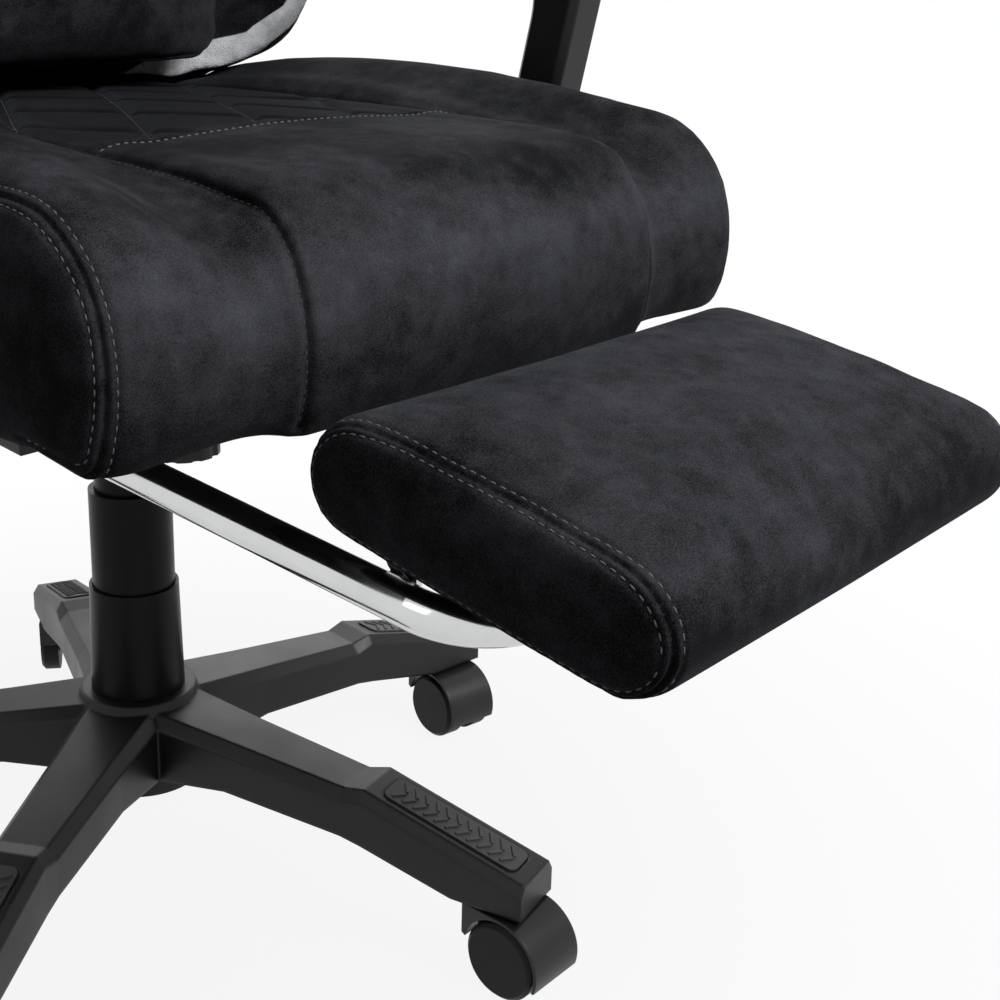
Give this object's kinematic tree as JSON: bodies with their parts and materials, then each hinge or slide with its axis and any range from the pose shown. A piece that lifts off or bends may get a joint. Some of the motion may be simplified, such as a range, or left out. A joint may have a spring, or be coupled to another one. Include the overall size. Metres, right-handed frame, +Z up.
{
  "type": "reclining gaming chair with footrest",
  "caption": "Reclining gaming chair with a winged back, cushioned bucket seat, armrests, slide-out footrest and a five-star base on twin-wheel casters.",
  "frame": {"origin": "on the floor below the gas lift's axis", "axes": "+Z up along the gas lift, -Y to the chair's front, +X to the sitter's left"},
  "size_m": [0.6693, 0.9276, 1.3078],
  "materials": {
    "nylon": "satin black nylon",
    "step_rubber": "matt black",
    "hood_plastic": "satin black",
    "wheel_plastic": "black",
    "cover_plastic": "satin black",
    "black_steel": "satin black",
    "steel": "zinc plated",
    "chrome": "polished",
    "plywood": "dark stained",
    "suede": "charcoal microfibre suede",
    "pad_foam": "soft black"
  },
  "bodies": {
    "base": {"star_base": "nylon", "arm_step_pads": "step_rubber", "gas_lift_outer_tube": "black_steel", "gas_lift_guide_bush": "nylon", "gas_lift_piston_rod": "steel", "gas_lift_retaining_clip": "steel", "lower_column_cover": "cover_plastic"},
    "caster_1": {"caster_1_housing": "hood_plastic", "caster_1_pins": "steel"},
    "caster_1_left_wheel": {"caster_1_wheel_left": "wheel_plastic"},
    "caster_1_right_wheel": {"caster_1_wheel_right": "wheel_plastic"},
    "caster_2": {"caster_2_housing": "hood_plastic", "caster_2_pins": "steel"},
    "caster_2_left_wheel": {"caster_2_wheel_left": "wheel_plastic"},
    "caster_2_right_wheel": {"caster_2_wheel_right": "wheel_plastic"},
    "caster_3": {"caster_3_housing": "hood_plastic", "caster_3_pins": "steel"},
    "caster_3_left_wheel": {"caster_3_wheel_left": "wheel_plastic"},
    "caster_3_right_wheel": {"caster_3_wheel_right": "wheel_plastic"},
    "caster_4": {"caster_4_housing": "hood_plastic", "caster_4_pins": "steel"},
    "caster_4_left_wheel": {"caster_4_wheel_left": "wheel_plastic"},
    "caster_4_right_wheel": {"caster_4_wheel_right": "wheel_plastic"},
    "caster_5": {"caster_5_housing": "hood_plastic", "caster_5_pins": "steel"},
    "caster_5_left_wheel": {"caster_5_wheel_left": "wheel_plastic"},
    "caster_5_right_wheel": {"caster_5_wheel_right": "wheel_plastic"},
    "middle_cover": {"middle_column_cover": "cover_plastic"},
    "lift": {"gas_lift_pressure_tube": "steel"},
    "swivel": {"upper_column_cover": "cover_plastic", "mechanism_housing": "black_steel", "tilt_pin": "steel", "tension_spring": "steel"},
    "knob": {"tension_knob": "nylon"},
    "height_lever": {"height_lever_rod": "black_steel", "height_lever_paddle": "nylon"},
    "seat": {"seat_board": "plywood", "tilt_plate": "black_steel", "seat_cushion": "suede", "seat_bolts": "steel", "footrest_guides": "nylon", "armrest_left": "nylon", "armrest_right": "nylon", "armrest_pad_left": "pad_foam", "armrest_pad_right": "pad_foam", "armrest_brackets": "black_steel", "recliner_bracket_left": "black_steel", "recliner_bracket_right": "black_steel", "recliner_pins": "steel", "hinge_covers": "nylon"},
    "recline_lever": {"recline_lever": "nylon"},
    "backrest": {"back_frame": "black_steel", "backrest_cushion": "suede", "lumbar_pillow": "suede", "head_pillow": "suede"},
    "footrest_slider": {"footrest_tube": "chrome", "footrest_bolts": "chrome"},
    "footrest_flap": {"footrest_pad": "suede", "footrest_board": "plywood", "footrest_brackets": "black_steel"}
  },
  "joints": [
    {"name": "caster_1_swivel", "type": "hinge", "parent": "base", "child": "caster_1", "pos_m": [0.30378, -0.03676, 0.06], "axis": [0, 0, 1], "continuous": true},
    {"name": "caster_1_left_roll", "type": "hinge", "parent": "caster_1", "child": "caster_1_left_wheel", "pos_m": [0.30031, -0.05646, 0.027], "axis": [-0.9848, 0.1736, 0], "continuous": true},
    {"name": "caster_1_right_roll", "type": "hinge", "parent": "caster_1", "child": "caster_1_right_wheel", "pos_m": [0.30031, -0.05646, 0.027], "axis": [-0.9848, 0.1736, 0], "continuous": true},
    {"name": "caster_2_swivel", "type": "hinge", "parent": "base", "child": "caster_2", "pos_m": [0.12884, 0.27755, 0.06], "axis": [0, 0, 1], "continuous": true},
    {"name": "caster_2_left_roll", "type": "hinge", "parent": "caster_2", "child": "caster_2_left_wheel", "pos_m": [0.14169, 0.29288, 0.027], "axis": [0.766, -0.6428, 0], "continuous": true},
    {"name": "caster_2_right_roll", "type": "hinge", "parent": "caster_2", "child": "caster_2_right_wheel", "pos_m": [0.14169, 0.29288, 0.027], "axis": [0.766, -0.6428, 0], "continuous": true},
    {"name": "caster_3_swivel", "type": "hinge", "parent": "base", "child": "caster_3", "pos_m": [-0.22416, 0.2083, 0.06], "axis": [0, 0, 1], "continuous": true},
    {"name": "caster_3_left_roll", "type": "hinge", "parent": "caster_3", "child": "caster_3_left_wheel", "pos_m": [-0.23416, 0.22562, 0.027], "axis": [0.866, 0.5, 0], "continuous": true},
    {"name": "caster_3_right_roll", "type": "hinge", "parent": "caster_3", "child": "caster_3_right_wheel", "pos_m": [-0.23416, 0.22562, 0.027], "axis": [0.866, 0.5, 0], "continuous": true},
    {"name": "caster_4_swivel", "type": "hinge", "parent": "base", "child": "caster_4", "pos_m": [-0.26737, -0.14882, 0.06], "axis": [0, 0, 1], "continuous": true},
    {"name": "caster_4_left_roll", "type": "hinge", "parent": "caster_4", "child": "caster_4_left_wheel", "pos_m": [-0.27885, -0.1652, 0.027], "axis": [-0.8192, 0.5736, 0], "continuous": true},
    {"name": "caster_4_right_roll", "type": "hinge", "parent": "caster_4", "child": "caster_4_right_wheel", "pos_m": [-0.27885, -0.1652, 0.027], "axis": [-0.8192, 0.5736, 0], "continuous": true},
    {"name": "caster_5_swivel", "type": "hinge", "parent": "base", "child": "caster_5", "pos_m": [0.05891, -0.30028, 0.06], "axis": [0, 0, 1], "continuous": true},
    {"name": "caster_5_left_roll", "type": "hinge", "parent": "caster_5", "child": "caster_5_left_wheel", "pos_m": [0.05891, -0.32028, 0.027], "axis": [-1, 0, 0], "continuous": true},
    {"name": "caster_5_right_roll", "type": "hinge", "parent": "caster_5", "child": "caster_5_right_wheel", "pos_m": [0.05891, -0.32028, 0.027], "axis": [-1, 0, 0], "continuous": true},
    {"name": "lift_slide", "type": "slide", "parent": "base", "child": "lift", "axis": [0, 0, 1], "range_m": [-0.08, 0]},
    {"name": "middle_cover_slide", "type": "slide", "parent": "base", "child": "middle_cover", "axis": [0, 0, 1], "range_m": [-0.04, 0]},
    {"name": "chair_turn", "type": "hinge", "parent": "lift", "child": "swivel", "pos_m": [0, 0, 0.37], "axis": [0, 0, 1], "continuous": true},
    {"name": "knob_turn", "type": "hinge", "parent": "swivel", "child": "knob", "pos_m": [0, -0.06, 0.34], "axis": [0, 0, 1], "continuous": true},
    {"name": "height_lever_pull", "type": "hinge", "parent": "swivel", "child": "height_lever", "pos_m": [-0.055, 0.06, 0.365], "axis": [0, 1, 0], "range_deg": [0, 6], "stiffness_Nm_per_rad": 3, "springref_deg": -5.73},
    {"name": "seat_tilt", "type": "hinge", "parent": "swivel", "child": "seat", "pos_m": [0, -0.075, 0.403], "axis": [-1, 0, 0], "range_deg": [0, 12], "stiffness_Nm_per_rad": 200, "springref_deg": -28.65},
    {"name": "recline_lever_pull", "type": "hinge", "parent": "seat", "child": "recline_lever", "pos_m": [-0.27, 0.218, 0.47], "axis": [-1, 0, 0], "range_deg": [0, 22], "stiffness_Nm_per_rad": 1, "springref_deg": -17.19},
    {"name": "backrest_recline", "type": "hinge", "parent": "seat", "child": "backrest", "pos_m": [0, 0.218, 0.47], "axis": [-1, 0, 0], "range_deg": [0, 55]},
    {"name": "footrest_slide", "type": "slide", "parent": "seat", "child": "footrest_slider", "axis": [0, -0.9954, -0.0958], "range_m": [-0.012, 0.08]},
    {"name": "footrest_flip", "type": "hinge", "parent": "footrest_slider", "child": "footrest_flap", "pos_m": [0, -0.392, 0.3815], "axis": [-1, 0, 0], "range_deg": [0, 35]}
  ],
  "couplings": [
    {"joint": "middle_cover_slide", "follows": "lift_slide", "ratio": 0.5}
  ]
}
